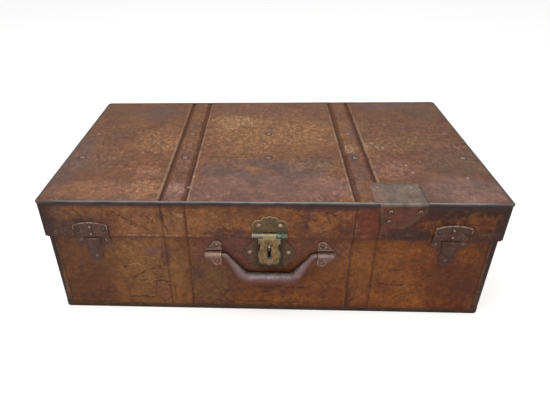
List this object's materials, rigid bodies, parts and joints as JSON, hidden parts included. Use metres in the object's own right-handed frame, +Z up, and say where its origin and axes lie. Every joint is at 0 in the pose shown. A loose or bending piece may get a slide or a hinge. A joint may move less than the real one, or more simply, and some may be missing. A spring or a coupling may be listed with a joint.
{
  "type": "metal suitcase",
  "caption": "Old riveted sheet-metal suitcase with a hinged lid, rolled top edge, pressed bands, hasp lock with sliding bolt, swinging leather grip and slotted lid stays.",
  "frame": {"origin": "centre of the flat underside, on the surface that the suitcase stands on", "axes": "+X to the right along the width as seen from the front, -Y out of the front with the lock and handle, +Z up"},
  "size_m": [0.6124, 0.3725, 0.1886],
  "materials": {
    "painted_sheet": "worn brown paint, crackled, satin",
    "dark_sheet": "dark worn paint, satin",
    "rolled_edge": "bare rubbed steel",
    "patch": "grey olive paint, dull",
    "aged_brass": "dull aged brass plate",
    "dark_plate": "dark plated steel, worn",
    "coppered_steel": "coppered steel, worn",
    "steel": "plain steel, dull",
    "grip_leather": "smooth worn leather"
  },
  "bodies": {
    "base": {"base_floor": "dark_sheet", "base_front": "painted_sheet", "base_back": "painted_sheet", "base_end_left": "dark_sheet", "base_end_right": "dark_sheet", "lock_plate": "dark_plate", "lock_staple": "steel", "lock_rivets": "dark_plate", "handle_plate_left": "coppered_steel", "handle_plate_right": "coppered_steel", "handle_rivets": "coppered_steel", "catch_socket_left": "dark_plate", "catch_socket_right": "dark_plate", "catch_socket_rivets": "dark_plate", "hinge_base_leaf_left": "dark_plate", "hinge_base_leaf_right": "dark_plate", "hinge_pin_left": "steel", "hinge_pin_right": "steel", "hinge_base_rivets": "steel", "stay_stud_left": "steel", "stay_stud_right": "steel"},
    "lid": {"lid_top": "painted_sheet", "lid_front": "painted_sheet", "lid_back": "painted_sheet", "lid_end_left": "dark_sheet", "lid_end_right": "dark_sheet", "lid_edge_roll": "rolled_edge", "lid_patch": "patch", "patch_rivets": "patch", "hasp_plate": "aged_brass", "hasp_pin": "steel", "hasp_rivets": "aged_brass", "catch_tongue_left": "dark_plate", "catch_tongue_right": "dark_plate", "catch_tongue_rivets": "dark_plate", "hinge_lid_leaf_left": "dark_plate", "hinge_lid_leaf_right": "dark_plate", "hinge_lid_rivets": "steel", "batten_front": "steel", "batten_back": "steel", "batten_rivets": "steel", "stay_pivot_left": "steel", "stay_pivot_right": "steel"},
    "hasp": {"hasp_flap": "aged_brass", "hasp_back": "aged_brass", "drill_pin": "steel"},
    "lock_bolt": {"lock_bolt": "steel"},
    "handle": {"handle_core": "steel", "handle_grip": "grip_leather"},
    "stay_left": {"stay_arm_left": "steel"},
    "stay_right": {"stay_arm_right": "steel"}
  },
  "joints": [
    {"name": "lid_hinge", "type": "hinge", "parent": "base", "child": "lid", "pos_m": [0, 0.1803, 0.13], "axis": [-1, 0, 0], "range_deg": [0, 105]},
    {"name": "hasp_hinge", "type": "hinge", "parent": "lid", "child": "hasp", "pos_m": [0.002, -0.1807, 0.139], "axis": [-1, 0, 0], "range_deg": [0, 165]},
    {"name": "lock_slide", "type": "slide", "parent": "hasp", "child": "lock_bolt", "axis": [-1, 0, 0], "range_m": [0, 0.0062]},
    {"name": "handle_swing", "type": "hinge", "parent": "base", "child": "handle", "pos_m": [0.002, -0.1784, 0.1035], "axis": [-1, 0, 0], "range_deg": [0, 150]},
    {"name": "stay_left_swing", "type": "hinge", "parent": "lid", "child": "stay_left", "pos_m": [-0.298, 0.12802, 0.15007], "axis": [-1, 0, 0], "range_deg": [-52.5, 0]},
    {"name": "stay_right_swing", "type": "hinge", "parent": "lid", "child": "stay_right", "pos_m": [0.298, 0.12802, 0.15007], "axis": [-1, 0, 0], "range_deg": [-52.5, 0]}
  ],
  "couplings": [
    {"joint": "stay_left_swing", "follows": "lid_hinge", "ratio": -0.5},
    {"joint": "stay_right_swing", "follows": "lid_hinge", "ratio": -0.5}
  ]
}
